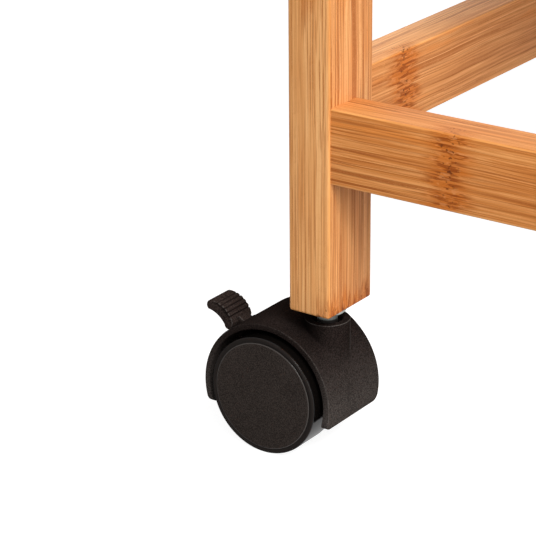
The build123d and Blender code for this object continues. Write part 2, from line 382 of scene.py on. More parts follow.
def bamboo(name):
    """Laminated bamboo: strips of slightly different tone, fibre lines along them, speckled knuckles across.

    The palettes, dark to pale, are mixed by the piece's own shade, and the narrow faces, where the strips
    lie edge on, are lighter and calmer than the broad ones. Each strip has its knuckles a golden share of
    a pitch on.
    """
    finish, start = new_finish(name)
    shade, edge = field(start, "shade"), field(start, "edge")
    layer = start.math("FLOOR", field(start, "strip"))
    draw = {"W": layer + shade * SHADE_DRAW}
    seed = start.node("ShaderNodeTexWhiteNoise", {"noise_dimensions": "1D"}, draw, "Value")
    along = start.node("ShaderNodeSeparateXYZ", None, {0: field(start, "grain", "Vector")})
    wide, thick = along.output(1), along.output(2)
    place = (along + seed * DRAWN_ALONG, wide + seed * DRAWN_ACROSS, thick)
    place = (place[0], place[1] + streaks(start, place, "bend").swing(BEND), thick)

    def mark(kind):
        """One kind of mark at this place in the grain."""
        return streaks(start, place, kind)

    # Fibres
    fibre, line, cloud = mark("fibre"), mark("line"), mark("cloud")
    level = (fibre.swing(0.7) + line.swing(1.3) + mark("vein").swing(0.55)) * (1 - edge * 0.2)
    level = level + cloud.swing(0.5) + MEAN_LEVEL + edge * 0.08 + seed.swing(0.14)
    tint = start.math("MINIMUM", shade + edge * 0.35, 1.0)
    dark, honey, pale = (tint.mixed(rich, light) for rich, light in zip(RICH, LIGHT))
    colour = level.between(*DARK_TO_HONEY).mixed(dark, honey)
    colour = level.between(*HONEY_TO_PALE).mixed(colour, pale)
    colour = (edge * 0.2).mixed(colour, NARROW_FACE)
    colour = (mark("warm") * (0.45 - edge * 0.35)).mixed(colour, WARM_STREAK)
    hair = mark("hair") * (0.5 + cloud.between(0.42, 0.60) * 0.5)
    colour = (hair * (0.9 - edge * 0.2)).mixed(colour, dark)
    colour = (mark("wisp") * 0.5).mixed(colour, dark)
    # Painted highlight: a pale line on the rounding between broad and narrow faces
    corner = edge * (1 - edge) * 4.0
    colour = (corner * corner * 0.35).mixed(colour, PAINTED_CORNER_HIGHLIGHT)

    # Knuckles
    turn = start.math("FRACT", layer * GOLDEN_SHARE) * KNUCKLE_PITCH
    beside = start.math("WRAP", field(start, "knuckle") - turn, -KNUCKLE_PITCH / 2, KNUCKLE_PITCH / 2)
    beside = beside + mark("sway").swing(SWAY)
    ragged = mark("ragged").swing(RAGGED)
    band = (1 - start.math("ABSOLUTE", beside + ragged).between(*BAND_WIDTH)) * (1 - edge * 0.6)
    heart = 1 - start.math("ABSOLUTE", beside + ragged * 0.35).between(*HEART_WIDTH)
    dots = heart * mark("dots")
    for spots, share, paint in (
        (band, 0.6, KNUCKLE_BAND),
        (band * mark("threads"), 0.8, KNUCKLE_THREAD),
        (band * mark("patches"), 0.5, KNUCKLE_PATCH),
        (dots, 0.9, KNUCKLE_DOT),
    ):
        colour = (spots * share).mixed(colour, paint)

    height = fibre * 0.4 + line * 0.6 - dots * 0.9
    feed(start, {
        "Base Color": colour,
        "Roughness": 0.42 + fibre * 0.14 + band * 0.1,
        "Normal": bumped(start, height, 0.16, 0.3 * MM),
        "Specular IOR Level": BAMBOO_GLOSS,
    })
    return finish


# Plastic and metal

PLASTIC_GLOSS = 0.0
# Tone of the highlights painted on the mouldings
PAINTED_HIGHLIGHT_TONE = (0.085, 0.078, 0.072)
PALE_SPECK = (0.10, 0.085, 0.075)
SPECK_SHARE = 0.3
GRAIN_DEPTH = 0.1 * MM
MOULDING_GRAIN = 0.48 * MM

# Heights at which a moulding has its low colour, painted paler as light, and its own high colour
LOW_COLOUR_HEIGHT = 10.0 * MM
HIGH_COLOUR_HEIGHT = 52.0 * MM

# Radii at which parts of a wheel begin and are full, or for the outside of the ring painted as a highlight,
# end
TREAD = (22.6 * MM, 23.0 * MM)
ROLLING_FACE = (25.05 * MM, 25.25 * MM)
RING_INSIDE = (22.62 * MM, 22.85 * MM)
RING_OUTSIDE = (23.00 * MM, 23.18 * MM)
# Tone of the highlight painted on the ring at the disc's edge
RING_HIGHLIGHT_TONE = (0.060, 0.052, 0.047)
WHEEL_GRAIN_TURN = (0.5, 0.9, 0.3)

ZINC_DARK = (0.30, 0.33, 0.31)
ZINC_PALE = (0.46, 0.49, 0.46)
# Shade painted on the stem down in the boss's mouth, and the depths below the leg's foot over which it fades
# in
PAINTED_SHADE_TONE = (0.012, 0.010, 0.009)
PAINTED_SHADE_BELOW_FOOT = (5.6 * MM, 4.9 * MM)


def mottled(grain, drift):
    """Tone of a moulding from 0, dark, to 1, pale: its grain, and a slow drift."""
    return (grain.swing(3.6) + drift.swing(0.7) + 0.5).between(-0.2, 1.2)


def moulded_plastic(name, colour, painted_low_light_colour, rough):
    """Dark moulding, painted paler near the floor as light: fine grain, slow drift of tone, pale specks,
    painted shade and painted highlights.
    """
    finish, start = new_finish(name)
    place = object_place(start)
    grain = noise(start, place, 1 / MOULDING_GRAIN, 1.0)
    level = mottled(grain, noise(start, place, 60.0))
    speck = noise(start, place, 1400.0, 1.0).between(0.69, 0.80)
    height = start.node("ShaderNodeSeparateXYZ", None, {0: place}, "Z")
    # Painted light: the moulding is paler towards the floor
    sunk = 1 - height.between(LOW_COLOUR_HEIGHT, HIGH_COLOUR_HEIGHT)
    dark, pale = (sunk.mixed(scaled(colour, share), scaled(painted_low_light_colour, share)) for share in (0.5, 1.5))
    tone = (speck * SPECK_SHARE).mixed(level.mixed(dark, pale), PALE_SPECK)
    # Painted shade: darker where the mesh's shade field is high
    tone = field(start, "painted_shade").mixed(tone, scaled(colour, 0.3))
    # Painted highlight: paler where the mesh's highlight field is high
    tone = (field(start, "painted_highlight") * (0.3 + level * 0.7)).mixed(tone, PAINTED_HIGHLIGHT_TONE)
    feed(start, {
        "Base Color": tone,
        "Roughness": rough + grain.swing(0.3),
        "Normal": bumped(start, grain, 0.5, GRAIN_DEPTH),
        "Specular IOR Level": PLASTIC_GLOSS,
    })
    return finish


def wheel_plastic(name, colour):
    """Wheel moulding: glossy tread, ring painted pale as a highlight, matt grained side, told apart by the
    radius field.

    The rolling face of the tread is painted near black as shade.
    """
    finish, start = new_finish(name)
    turned = {"Vector": object_place(start), "Rotation": WHEEL_GRAIN_TURN}
    place = start.node("ShaderNodeMapping", None, turned)
    radius = field(start, "radius")
    tread = radius.between(*TREAD)
    rolling = radius.between(*ROLLING_FACE)
    ring = radius.between(*RING_INSIDE) * (1 - radius.between(*RING_OUTSIDE))
    grain = noise(start, place, 2500.0, 1.0)
    level = mottled(grain, noise(start, place, 70.0))
    speck = noise(start, place, 1500.0, 1.0).between(0.70, 0.80) * (1 - tread)
    tone = level.mixed(scaled(colour, 0.55), scaled(colour, 1.45))
    tone = (speck * SPECK_SHARE).mixed(tone, PALE_SPECK)
    tone = tread.mixed(tone, scaled(colour, 0.45))
    # Painted shade: the rolling face, which runs under the hood, is near black
    tone = rolling.mixed(tone, scaled(colour, 0.1))
    # Painted highlight: a pale ring along the disc's edge
    tone = (ring * 0.8).mixed(tone, RING_HIGHLIGHT_TONE)
    feed(start, {
        "Base Color": tone,
        "Roughness": 0.52 + grain.swing(0.25) - tread * 0.2,
        "Normal": bumped(start, grain * (1 - tread * 0.9), 0.45, GRAIN_DEPTH),
        "Specular IOR Level": PLASTIC_GLOSS,
        "Coat Weight": tread * 0.065 + rolling * 0.45 + ring * 0.33,
        "Coat Roughness": 0.13,
    })
    return finish


def zinc(name, low_part_shaded):
    """Zinc-plated steel: cool metal with a faint crystalline mottle and turning marks.

    Where shade is painted, the part down in the boss's mouth is dark.
    """
    finish, start = new_finish(name)
    place = object_place(start)
    mottle = start.node("ShaderNodeTexVoronoi", None, {"Vector": place, "Scale": 1200.0}, "Distance")
    marks = noise(start, place, 2600.0)
    colour, metal = mottle.mixed(ZINC_DARK, ZINC_PALE), 1.0
    # Painted shade: dark and not metallic below a height under the leg's foot
    if low_part_shaded:
        height = start.node("ShaderNodeSeparateXYZ", None, {0: place}, "Z")
        metal = height.between(*(STEM_FOOT - depth for depth in PAINTED_SHADE_BELOW_FOOT))
        colour = metal.mixed(PAINTED_SHADE_TONE, colour)
    feed(start, {
        "Base Color": colour,
        "Metallic": metal,
        "Roughness": 0.34 + marks * 0.18,
        "Normal": bumped(start, marks, 0.15, GRAIN_DEPTH),
    })
    return finish


frame_bamboo = bamboo("frame_bamboo")
slat_bamboo = bamboo("slat_bamboo")
top_bamboo = bamboo("top_bamboo")
# The second colour is the light painted on the housing's lower part
housing_black = moulded_plastic("housing_black", srgb(33, 27, 25), srgb(68, 63, 60), 0.55)
pedal_black = moulded_plastic("pedal_black", srgb(49, 41, 38), srgb(49, 41, 38), 0.50)
wheel_black = wheel_plastic("wheel_black", srgb(51, 45, 42))
zinc_plate = zinc("zinc_plate", False)
zinc_painted_shade_low = zinc("zinc_painted_shade_low", True)


# Timber pieces

# Shade and first knuckle of the pieces in the photographed corner; those of the others are drawn by chance
SEEN_SHADES = {"leg_front_left": 0.68, "base_rail_front": 0.06, "base_side_rail_left": 0.60}
SEEN_KNUCKLES = {"base_rail_front": -0.197, "base_side_rail_left": -0.199, "leg_front_left": -0.025}
DRAWN_SHADES = (0.1, 0.6)
WORKTOP_SHADE = 0.37
GRAIN_STARTS = (0, 9)


def bar(node, axis, wide_axis, edge, finish, ends=(0.0, 0.0), sink=0.0, box=None):
    """Bamboo bar in the box of its node: a rounded rectangle along one axis, drawn in at rounded ends.

    Its fields are the place along, across and through the strips, the strip's number counted through the
    thickness, the distance from the first knuckle, how far a point lies round the corner onto a narrow
    face, and the piece's shade.
    """
    low, high = (np.array(corner) for corner in (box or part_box(node)))
    thick_axis = 3 - axis - wide_axis
    middle = (low + high) / 2
    half = (high - low) / 2
    start = low[axis] - sink
    length = high[axis] - low[axis] + 2 * sink
    turn = np.linspace(0, math.pi / 2, 5)
    rounding = [(end * (1 - np.cos(turn)), end * (1 - np.sin(turn))) for end in ends]
    straight = np.linspace(ends[0], length - ends[1], max(2, int(length / BAR_ROW)) + 1)[1:-1]
    along = np.concatenate([rounding[0][0], straight, length - rounding[1][0][::-1]])
    insets = np.concatenate([rounding[0][1], 0 * straight, rounding[1][1][::-1]])
    sections = np.stack([
        rounded_rectangle(
            half[wide_axis] - inset, half[thick_axis] - inset, max(edge - inset, LEAST_EDGE), EDGE_STEPS
        )
        for inset in insets
    ])
    loops = np.empty(sections.shape[:2] + (3,))
    loops[..., axis] = start + along[:, None]
    loops[..., wide_axis] = middle[wide_axis] + sections[..., 0]
    loops[..., thick_axis] = middle[thick_axis] + sections[..., 1]
    points, faces = tube(loops)
    first_knuckle = SEEN_KNUCKLES.get(node, start + chance.uniform(0, KNUCKLE_PITCH))
    across = points[:, wide_axis] - middle[wide_axis]
    through = points[:, thick_axis] - low[thick_axis]
    fields = {
        "grain": np.stack([points[:, axis] - start + chance.uniform(*GRAIN_STARTS), across, through], -1),
        "strip": through / STRIP,
        "knuckle": points[:, axis] - first_knuckle,
        "edge": np.clip((np.abs(across) - half[wide_axis]) / edge + 1, 0, 1),
        "shade": np.full(len(points), SEEN_SHADES.get(node, chance.uniform(*DRAWN_SHADES))),
    }
    make_piece(f"{node}_timber", (points, faces), "frame", finish, [node], fields)


def timber():
    """Legs, rails and slats, each in the box of its node, without the tenons and tongues."""
    leg_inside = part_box("leg_front_left")[1]
    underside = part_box("worktop")[0].z
    for node in frame["nodes"]:
        low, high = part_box(node)
        if node.startswith("leg_"):
            high.z = underside
            bar(node, Z, Y, LEG_EDGE, frame_bamboo, (FOOT_EDGE, 0.0), box=(low, high))
        elif "_side_rail_" in node:
            low.y, high.y = leg_inside.y, -leg_inside.y
            bar(node, Y, Z, RAIL_EDGE, frame_bamboo, sink=TENON_SINK, box=(low, high))
        elif node.startswith("base_rail_"):
            low.x, high.x = leg_inside.x, -leg_inside.x
            bar(node, X, Z, RAIL_EDGE, frame_bamboo, sink=TENON_SINK, box=(low, high))
        elif "_shelf_slat_" in node:
            bar(node, X, Y, SLAT_EDGE, slat_bamboo, (SLAT_EDGE, SLAT_EDGE))


def worktop():
    """Board: a rounded rectangle drawn in along a quarter circle at its upper edge and eased below."""
    low, high = (np.array(corner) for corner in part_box("worktop"))
    half, middle = (high - low) / 2, (high + low) / 2
    turn = np.linspace(0, math.pi / 2, 7)
    upper = 2 * half[Z] - WORKTOP_EDGE + WORKTOP_EDGE * np.sin(turn)
    rises = np.concatenate([[0.0, WORKTOP_UNDER_EDGE], upper])
    insets = np.concatenate([[WORKTOP_UNDER_EDGE, 0.0], WORKTOP_EDGE * (1 - np.cos(turn))])
    flat = np.stack([
        rounded_rectangle(half[X] - inset, half[Y] - inset, WORKTOP_CORNER - inset, WORKTOP_CORNER_STEPS)
        for inset in insets
    ])
    heights = np.broadcast_to((low[Z] + rises)[:, None], flat.shape[:2])
    points, faces = tube(np.concatenate([flat + middle[:2], heights[..., None]], -1))
    along, across, through = (points - low).T
    fields = {
        "grain": np.stack([along, through, across], -1),
        "strip": across / BOARD_STRIP,
        "knuckle": along,
        "edge": np.zeros(len(points)),
        "shade": np.full(len(points), WORKTOP_SHADE),
    }
    make_piece("worktop_timber", (points, faces), "frame", top_bamboo, ["worktop"], fields)


# Casters

def at_caster(points, side, end):
    """Points about an axle's middle moved to one caster; the right-hand ones are turned half round."""
    housing_low, housing_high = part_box(f"caster_housing_{end}_{side}")
    leg_low, leg_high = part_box("leg_front_right")
    turn = -SIDES[side]
    stem = SIDES[side] * (leg_low.x + leg_high.x) / 2
    place = np.array([stem - turn * TRAIL, (housing_low.y + housing_high.y) / 2, AXLE_HEIGHT])
    return points * np.array([turn, turn, 1.0]) + place


def wheel_profile():
    """Half section of a wheel, in millimetres of radius and distance out, from the hub over the tread.

    The tread has a round inner corner and a round shoulder; a groove parts the shoulder from the flat disc.
    """
    return np.concatenate([
        [(3.1, 5.5), (8.0, 5.5), (8.6, 6.2), (20.5, 6.2), (21.2, 5.5)],
        arc((24.5, 6.3), (0.8, 0.8), -90, 0, 6),
        [(25.3, 9.0), (25.3, 17.0)],
        arc((24.35, 20.7), (0.95, 1.25), 0, 96, 12),
        [(23.9, 21.88), (23.5, 21.74), (23.28, 21.66), (23.18, 21.66)],
        arc((22.80, 21.66), (0.34, 0.34), 0, 90, 6),
        [(22.4, 22.0), (18.0, 22.0), (10.0, 22.0), (0.3, 22.0)],
    ]) * MM


def wheel(node, side, end, near):
    """One wheel: its half section carried round the axle as (r cos, y, r sin), with the radius as a field."""
    profile = wheel_profile()
    angle = full_turn(WHEEL_STEPS)
    radius, across = profile[:, 0, None], profile[:, 1, None] * near
    loops = np.stack([radius * np.cos(angle), across + 0 * angle, radius * np.sin(angle)], -1)
    points, faces = tube(loops)
    fields = {"radius": np.hypot(points[:, 0], points[:, 2])}
    body = node.replace("caster_wheel", "wheel")
    make_piece(f"{node}_moulding", (at_caster(points, side, end), faces), body, wheel_black,
               [node], fields, crease=40.0)


def hood_sides(way):
    """Flares of the outer and the inner circle and depth of the skirt, per point, leading or trailing."""
    trailing = way < 0
    outer = np.where(trailing, HOOD_REAR_FLARE, HOOD_FLARE)
    inner = np.where(trailing, HOOD_REAR_FLARE, 0.0)
    return outer, inner, np.where(trailing, HOOD_REAR_SKIRT, HOOD_SKIRT)


def hood_outlines(way):
    """Outer and inner outline seen along the axle.

    A way runs from -1 at the trailing skirt's edge over 0 at the crest to 1 at the leading one's. A point
    lies on its circle at the quarter turn less its way times the angle from crest to skirt's edge.
    """
    outer_flare, inner_flare, skirt = hood_sides(way)
    lines = []
    for crest, flare in ((HOOD_CREST, outer_flare), (HOOD_INNER, inner_flare)):
        radius = crest + flare
        reach = math.pi / 2 + np.arcsin((skirt - flare) / radius)
        turn = math.pi / 2 - way * reach
        lines.append(np.stack([radius * np.cos(turn), radius * np.sin(turn) - flare], -1))
    return lines


def hood_way(angle):
    """Way at which the outer outline of the trailing side crosses a ray from the axle."""
    radius = HOOD_CREST + HOOD_REAR_FLARE
    across, up = HOOD_REAR_FLARE * math.cos(angle), HOOD_REAR_FLARE * math.sin(angle)
    out = math.sqrt(radius**2 - across**2) - up
    turn = math.atan2(out * math.sin(angle) + HOOD_REAR_FLARE, out * math.cos(angle))
    reach = math.pi / 2 + math.asin((HOOD_REAR_SKIRT - HOOD_REAR_FLARE) / radius)
    return (math.pi / 2 - turn) / reach


def hood_section():
    """Half of the strip's section, as steps in from the end, side of the wall, and depth into the wall."""
    turn = np.radians(np.linspace(0, 90, 7))
    outside = [(HOOD_EDGE * (1 - math.sin(t)), "outer", HOOD_EDGE * (1 - math.cos(t))) for t in turn]
    inside = [(HOOD_LIP * (1 - math.cos(t)), "inner", HOOD_LIP * (1 - math.sin(t))) for t in turn[::3]]
    return outside + inside


def hood(braked):
    """Arched shell: a round-edged strip carried over the wheels, its lower corners drawn in along a circle.

    The braked ones have a slot for the pedal, and two rows of points are moved to the slot's ends.
    """
    skirt = SKIRT_ROWS / HOOD_SPAN
    arch = np.linspace(skirt[-1] - 1, 1 - skirt[-1], HOOD_ROWS)[1:-1]
    way = np.concatenate([skirt - 1, arch, 1 - skirt[::-1]])
    slot_low = hood_way(PEDAL_ANGLE + math.asin(SLOT_BELOW / HOOD_CREST))
    slot_high = hood_way(PEDAL_ANGLE - math.asin(SLOT_ABOVE / HOOD_CREST))
    first, last = (int(np.argmin(np.abs(way - edge))) for edge in (slot_low, slot_high))
    way[[first, last]] = slot_low, slot_high
    outer, inner = hood_outlines(way)
    rise = (1 - np.abs(way)) * HOOD_SPAN
    drawn = np.minimum(rise, HOOD_CORNER)
    half = HOOD_HALF - HOOD_CORNER + np.sqrt(HOOD_CORNER**2 - (HOOD_CORNER - drawn) ** 2)
    thin = SKIRT_EASE - np.sqrt(SKIRT_EASE**2 - (SKIRT_EASE - np.minimum(rise, SKIRT_EASE)) ** 2)
    section = hood_section()
    columns = [(0, SLOT_HALF * s, "outer", 0.0) for s in (-1, 1)]
    columns += [(1, step, wall, depth) for step, wall, depth in section]
    columns += [(0, SLOT_HALF * s, "inner", 0.0) for s in (1, -1)]
    columns += [(-1, step, wall, depth) for step, wall, depth in section[::-1]]
    thick = np.linalg.norm(outer - inner, axis=1)
    loops = np.empty((len(way), len(columns), 3))
    for column, (end, step, wall, depth) in enumerate(columns):
        part = (thick - depth - thin if wall == "outer" else depth + thin) / thick
        loops[:, column, ::2] = inner + (outer - inner) * part[:, None]
        loops[:, column, 1] = end * (half - step - thin) if end else step
    points, faces = tube(loops)
    return points, slotted(faces, len(columns), 2 + len(section), first, last) if braked else faces


def slotted(faces, columns, inside, first, last):
    """Hood faces opened between two rows of the outer and the inner middle strip, with the slot's walls."""
    kept = []
    for face in faces:
        strip = {index % columns for index in face}
        row = min(face) // columns
        opened = len(face) == 4 and first <= row < last and strip in ({0, 1}, {inside, inside + 1})
        if not opened:
            kept.append(face)
    turned = (0, 1) in [(face[0] % columns, face[1] % columns) for face in kept if len(face) == 4]
    walls = []
    for row in range(first, last):
        low, high = row * columns, (row + 1) * columns
        walls.append((low + 1, high + 1, high + inside, low + inside))
        walls.append((high, low, low + inside + 1, high + inside + 1))
    low, high = first * columns, last * columns
    walls.append((low, low + 1, low + inside, low + inside + 1))
    walls.append((high + 1, high, high + inside + 1, high + inside))
    return kept + (walls if turned else [wall[::-1] for wall in walls])


def boss():
    """Stem boss turned about the swivel axis: open mouth, round rim, and a foot that blends into the hood.

    The foot is a quadratic curve from the wall to the hood, drawn towards the place where the two meet.
    """
    angle = full_turn(BOSS_STEPS)
    outer = HOOD_CREST + HOOD_FLARE

    def crown(radius):
        """Height of the hood round the boss at a radius, kept just short of the hood's outermost point."""
        reach = np.minimum(TRAIL + radius * np.cos(angle), outer * 0.9995)
        return np.sqrt(outer**2 - reach**2) - HOOD_FLARE

    rows = [
        (BOSS_BORE, BOSS_TOP - BOSS_BORE_DEPTH),
        (BOSS_BORE, BOSS_TOP - BOSS_HOLE_DEPTH),
        (BOSS_HOLE, BOSS_TOP - BOSS_HOLE_DEPTH),
        (BOSS_HOLE, BOSS_TOP - BOSS_HOLE_EASE),
        (BOSS_HOLE + BOSS_HOLE_EASE, BOSS_TOP),
    ]
    for turn in np.linspace(math.pi / 2, 0, 7):
        radius = BOSS_RADIUS - BOSS_RIM + BOSS_RIM * math.cos(turn)
        rows.append((radius, BOSS_TOP - BOSS_RIM + BOSS_RIM * math.sin(turn)))
    wall_foot, foot = crown(BOSS_RADIUS), crown(BOSS_RADIUS + BOSS_BLEND)
    start = np.minimum(wall_foot + BOSS_BLEND_RISE, BOSS_TOP - BOSS_RIM - BOSS_BLEND_BELOW_RIM)
    for share in np.linspace(0, 1, 12):
        height = (1 - share) ** 2 * start + 2 * share * (1 - share) * wall_foot + share**2 * foot
        rows.append((BOSS_RADIUS + BOSS_BLEND * share**2, height))
    rows.append((BOSS_RADIUS + BOSS_BLEND, foot - BOSS_FOOT_SINK))
    loops = [
        np.stack([TRAIL + radius * np.cos(angle), radius * np.sin(angle), height + 0 * angle], -1)
        for radius, height in rows
    ]
    return tube(np.stack(loops))


def centre_web():
    """Plate between the wheels: at each angle the farther of the hub's circle and the post's outline.

    A ray from the axle meets a side of the outline at the ratio of two cross products. The angles start a
    little off zero, so that no ray runs along a side, and the hood's wall ends the plate.
    """
    near, far = TRAIL - BOSS_RADIUS, TRAIL + BOSS_RADIUS
    post = [(near, HOOD_CREST), (far, HOOD_CREST), (far, WEB_LOW)]
    corners = np.array([(0, HUB_RADIUS), *post, (0, -HUB_RADIUS)])
    angle = full_turn(WEB_STEPS) + 0.001
    ray = np.stack([np.cos(angle), np.sin(angle)], -1)
    reach = np.full(len(angle), HUB_RADIUS)
    for first, second in zip(corners, np.roll(corners, -1, axis=0)):
        side = second - first
        cross = ray[:, 0] * side[1] - ray[:, 1] * side[0]
        distance = (first[0] * side[1] - first[1] * side[0]) / cross
        share = (first[0] * ray[:, 1] - first[1] * ray[:, 0]) / cross
        hit = (share >= 0) & (share <= 1) & (distance > 0)
        reach = np.where(hit, np.maximum(reach, distance), reach)
    reach = np.minimum(reach, HOOD_INNER + WEB_SINK)
    eased = WEB_HALF - WEB_EASE
    rows = [(-WEB_HALF, WEB_EASE), (-eased, 0.0), (eased, 0.0), (WEB_HALF, WEB_EASE)]
    loops = [
        np.stack([(reach - inset) * ray[:, 0], across + 0 * angle, (reach - inset) * ray[:, 1]], -1)
        for across, inset in rows
    ]
    return tube(np.stack(loops))


# Pedal outlines, in millimetres out and up from the pin

PLATE_TIP = (15.6, -2.2)
TIP_RADIUS = 2.4
CROWN_START = (2.75, -0.5)
CROWN_MIDDLE = (10.5, 2.4)
CROWN_POINTS = 180
CROWN_HIDDEN = 14
GROOVE_DEPTH = 0.55
GROOVE_WIDTH = 0.018
GROOVES = np.linspace(0.27, 0.82, 5)
RIB_TOP = 0.12
RIBS_END = 0.93
CAM_OFFSET = 2.5
CAM_RADIUS = 1.2
CAM_ANGLE = math.radians(-150)
BARREL_RADIUS = 2.45
BARREL_DROP = 0.25
# Share of highlight painted across a flank's rounding, and of shade painted in grooves and recesses
FLANK_EDGE_HIGHLIGHT = [0.0, 0.5, 1.0, 0.8, 0.0]
PEDAL_PAINTED_SHADE = 0.8


def three_point_arc(first, through, last, steps):
    """Points on the circle through three points, from the first to the last by way of the second."""
    (ax, ay), (bx, by), (cx, cy) = first, through, last
    scale = 2 * (ax * (by - cy) + bx * (cy - ay) + cx * (ay - by))
    a2, b2, c2 = ax * ax + ay * ay, bx * bx + by * by, cx * cx + cy * cy
    ux = (a2 * (by - cy) + b2 * (cy - ay) + c2 * (ay - by)) / scale
    uy = (a2 * (cx - bx) + b2 * (ax - cx) + c2 * (bx - ax)) / scale
    start = math.atan2(ay - uy, ax - ux)
    middle = (math.atan2(by - uy, bx - ux) - start + math.pi) % (2 * math.pi) - math.pi
    stop = (math.atan2(cy - uy, cx - ux) - start + math.pi) % (2 * math.pi) - math.pi
    if middle * stop < 0:
        stop += math.copysign(2 * math.pi, middle)
    turn = start + np.linspace(0, stop, steps)
    radius = math.hypot(ax - ux, ay - uy)
    return np.stack([ux + radius * np.cos(turn), uy + radius * np.sin(turn)], -1)


def to_the_right(along):
    """Unit vectors a quarter turn to the right of given directions, into an outline drawn clockwise."""
    return np.stack([along[:, 1], -along[:, 0]], -1) / np.linalg.norm(along, axis=1)[:, None]


def plate_outline():
    """Side view of the pedal's plate: crown, round tip, hollow back, heel.

    The crown is an arc sunk at the grooves by bell curves; its start is hidden in the heel. With the outline
    come the shares of painted highlight on the ribs and of painted shade in the grooves, per point.
    """
    tip_top = (PLATE_TIP[0] + TIP_RADIUS / 2, PLATE_TIP[1] + TIP_RADIUS * 3**0.5 / 2)
    tip_end = (PLATE_TIP[0] + TIP_RADIUS, PLATE_TIP[1])
    tip_bottom = (PLATE_TIP[0], PLATE_TIP[1] - TIP_RADIUS)
    crown = three_point_arc(CROWN_START, CROWN_MIDDLE, tip_top, CROWN_POINTS)
    share = np.linspace(0, 1, CROWN_POINTS)
    depth = sum(GROOVE_DEPTH * np.exp(-(((share - groove) / GROOVE_WIDTH) ** 2)) for groove in GROOVES)
    crown = crown + to_the_right(np.gradient(crown, axis=0)) * depth[:, None]
    crown, share, depth = (values[CROWN_HIDDEN:] for values in (crown, share, depth))
    ribs = np.clip(1 - depth / RIB_TOP, 0, 1) * (share < RIBS_END)
    nose = three_point_arc(tip_top, tip_end, tip_bottom, 18)[1:]
    back = three_point_arc(tip_bottom, (10.2, -2.9), (6.0, -3.55), 24)[1:]
    heel = arc((4.55, -2.2), (2.0, 2.0), -48, -190, 14)
    outline = np.concatenate([crown, nose, back, heel])
    rest = np.zeros(len(outline) - len(crown))
    return outline, np.concatenate([ribs, rest]), np.concatenate([depth / GROOVE_DEPTH, rest])


def barrel_outline():
    """Side view of the pedal's barrel: at each angle the farther of the barrel's and the cam's circle."""
    turn = np.radians(np.linspace(180, -180, 80, endpoint=False))
    off = turn - CAM_ANGLE
    along, aside = CAM_OFFSET * np.cos(off), CAM_OFFSET * np.sin(off)
    cam = along + np.sqrt(np.maximum(CAM_RADIUS**2 - aside**2, 0))
    on_cam = (along > 0) & (np.abs(aside) < CAM_RADIUS)
    barrel = BARREL_RADIUS - BARREL_DROP * np.sin(turn)
    reach = np.where(on_cam, np.maximum(barrel, cam), barrel)
    return np.stack([reach * np.cos(turn), reach * np.sin(turn)], -1)


def neck_outline():
    """Side view of the pedal's neck: half a circle, and a round-cornered block that runs into the plate."""
    corner = arc((3.6, 1.4), (1.1, 1.1), 90, 0, 8)
    return np.concatenate([corner, [(4.7, -3.0), (1.5, -2.85)], arc((0.0, 0.0), (2.8, 2.8), -90, -270, 30)])


def pedal_part(outline, half_width, ease, highlight_share, shaded_share):
    """A side view carried across the pedal, drawn in along a quarter circle at both flanks.

    With the surface come its shares of painted highlight, most on the rounded edges of the flanks, and of
    painted shade.
    """
    inward = to_the_right(np.roll(outline, -1, axis=0) - np.roll(outline, 1, axis=0))
    turn = np.radians([0, 22, 45, 67, 90])
    flank = [(-half_width + ease * (1 - math.cos(t)), ease * (1 - math.sin(t))) for t in turn]
    edge_highlight = np.outer(FLANK_EDGE_HIGHLIGHT + [0.0] + FLANK_EDGE_HIGHLIGHT[::-1], highlight_share).ravel()
    loops = []
    for across, inset in flank + [(0.0, 0.0)] + [(-across, inset) for across, inset in flank[::-1]]:
        flat = (outline + inward * inset) * MM
        out, up = PIN_DISTANCE + flat[:, 0], flat[:, 1]
        x = out * math.cos(PEDAL_ANGLE) + up * math.sin(PEDAL_ANGLE)
        z = out * math.sin(PEDAL_ANGLE) - up * math.cos(PEDAL_ANGLE)
        loops.append(np.stack([x, across * MM + 0 * x, z], -1))
    return tube(np.stack(loops)), edge_highlight, np.tile(shaded_share, len(loops))


def pedal(side):
    """Brake pedal: a ribbed plate on a narrower neck, and the barrel with the cam inside the hood."""
    plate, ribs, grooves = plate_outline()
    neck, barrel = neck_outline(), barrel_outline()
    neck_top = neck[:, 1] > 1.0
    # Painted highlights on the rib ends and the neck's top edge; painted shade in the grooves, under the neck
    # and on the barrel
    surfaces, edge_highlight, shaded_share = zip(
        pedal_part(plate, 7.0, 0.45, ribs, grooves * PEDAL_PAINTED_SHADE),
        pedal_part(neck, 3.2, 0.4, neck_top * 1.0, ~neck_top * PEDAL_PAINTED_SHADE),
        pedal_part(barrel, 6.9, 0.3, np.zeros(len(barrel)), np.full(len(barrel), PEDAL_PAINTED_SHADE)),
    )
    points, faces = joined(surfaces)
    fields = {"painted_highlight": np.concatenate(edge_highlight), "painted_shade": np.concatenate(shaded_share)}
    node = f"brake_pedal_front_{side}"
    make_piece(f"{node}_moulding", (at_caster(points, side, "front"), faces), f"pedal_front_{side}",
               pedal_black, [node], fields, crease=32.0)


# Painted highlights and painted shade on the housings; angles about the swivel axis, from the side away from
# the axle
LIT_RIM_ANGLE = math.radians(-30)
BOSS_FLANK_HIGHLIGHT_ANGLE = math.radians(28)
BOSS_FLANK_HIGHLIGHT_SPREAD = math.radians(14)
BOSS_FLANK_HIGHLIGHT_DEPTH = 0.02 * MM
EDGE_INSET = (0.05 * MM, 0.3 * MM)
PAINTED_SHADE_ANGLE = math.radians(-155)
PAINTED_SHADE_REACH = 5.0 * MM
PAINTED_SHADE_DROP = 10.0 * MM
HOUSING_PAINTED_SHADE = 0.85


